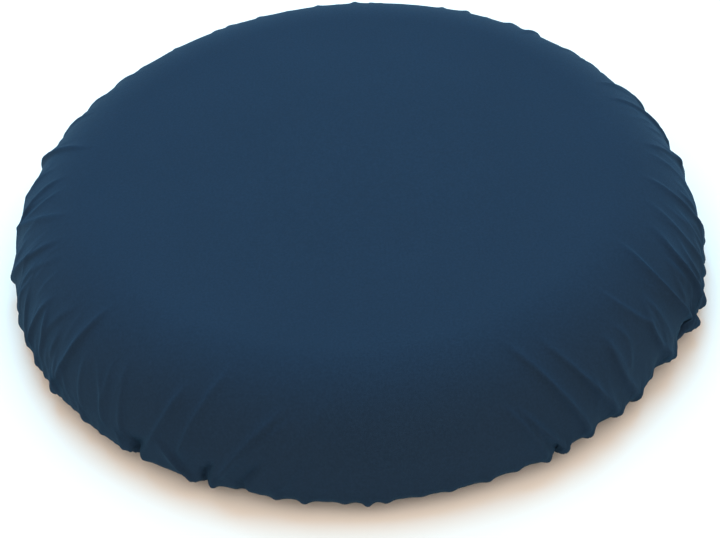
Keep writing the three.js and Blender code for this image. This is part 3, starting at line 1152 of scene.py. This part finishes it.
pale_cotton = woven("unbleached_cotton", (0.76, 0.73, 0.66), 0.7, relief_mm=0.08, roughness=0.93, sheen=0.05,
                    sheen_tint=(1, 1, 1))
navy_thread = fibre_material("navy_thread", (0.012, 0.03, 0.06), 2600, 0.05, 0.25, 0.6)
pale_thread = fibre_material("pale_thread", (0.85, 0.83, 0.78), 2600, 0.05, 0.12, 0.6)
elastic_weave = rib_material("woven_elastic", (0.8, 0.78, 0.73))
fibre_fill = fibre_material("fibre_wadding", (0.9, 0.9, 0.88), 420, 0.8, 0.06, 0.95)
cut_foam = foam_material("open_cell_foam", (0.8, 0.7, 0.42))
satin = fibre_material("label_satin", (0.9, 0.9, 0.88), 300, 0.02, 0.04, 0.45, stretch=(1, 8, 1))

foam = finish_piece(make_foam(), cut_foam, "foam", "foam_core")
wadding_disc = finish_piece(make_wadding_top(), fibre_fill, "wadding", "wadding_top")
wadding_ring = finish_piece(make_wadding_side(), fibre_fill, "wadding", "wadding_side")
lining_top = finish_piece(make_lining_top(), pale_cotton, "lining", "lining_top")
lining_side = finish_piece(make_lining_side(), pale_cotton, "lining", "lining_side")
lining_bottom = finish_piece(make_lining_bottom(), pale_cotton, "lining", "lining_bottom")
upper_middle = math.radians(UPPER_SEAM_ANGLE - SEAM_ANGLE / 2)
upper_at = top_edge(LINING_INSET + LINING_CLOTH / 2, math.degrees(upper_middle), 0, 1)[0]
upper_out, upper_up = math.cos(upper_middle), math.sin(upper_middle)
upper_seam = finish_piece(make_seam("upper_seam_thread", *upper_at, upper_out, upper_up),
                          pale_thread, "pale_thread", "lining_upper_seam")
lower_at = (LOWER_SEAM_RADIUS - LINING_CLOTH / 2 - GAP, CORE_LIFT + LINING_CLOTH / 2)
lower_seam = finish_piece(make_seam("lower_seam_thread", *lower_at, 1, 0),
                          pale_thread, "pale_thread", "lining_lower_seam")
elastic = finish_piece(make_elastic(), elastic_weave, "elastic", "hem_elastic")
elastic_join = finish_piece(make_elastic_tack(), pale_thread, "pale_thread", "elastic_tack")
stitch_rows = make_hem_stitches()
for row, node in zip(stitch_rows, ("hem_stitch_inner", "hem_stitch_outer")):
    finish_piece(row, navy_thread, "navy_thread", node)
label = finish_piece(make_label(), satin, "label", "care_label")
label_stitches = finish_piece(make_label_stitches(), navy_thread, "navy_thread", "label_stitch")


# ---- floor and light
def add_stage():
    mesh = bpy.data.meshes.new("floor")
    half = 20 * RADIUS * MM
    mesh.from_pydata([(-half, -half, 0), (half, -half, 0), (half, half, 0), (-half, half, 0)], [],
                     [(0, 1, 2, 3)])
    floor = link("floor", mesh)
    material, _, shader = new_material("pale_floor")
    set_inputs(shader, Base_Color=(0.9, 0.9, 0.9, 1), Roughness=0.7)
    mesh.materials.append(material)


def add_light(name, place, size, energy, colour):
    data = bpy.data.lights.new(name, "AREA")
    data.size = size
    data.energy = energy
    data.color = colour
    light = link(name, data)
    light.location = place
    light.rotation_euler = (-Vector(place)).to_track_quat("-Z", "Y").to_euler()


def light_scene():
    """A warm even surround and a large cool light above and behind."""
    scene = bpy.context.scene
    scene.view_settings.view_transform = "Standard"
    scene.world = bpy.data.worlds.new("studio")
    scene.world.use_nodes = True
    set_inputs(scene.world.node_tree.nodes["Background"], Color=(1.0, 0.825, 0.67, 1), Strength=1.27)
    add_light("overhead", (0.0, 0.95, 1.6), 1.5, 40, (0.05, 0.63, 1.0))


add_stage()
light_scene()
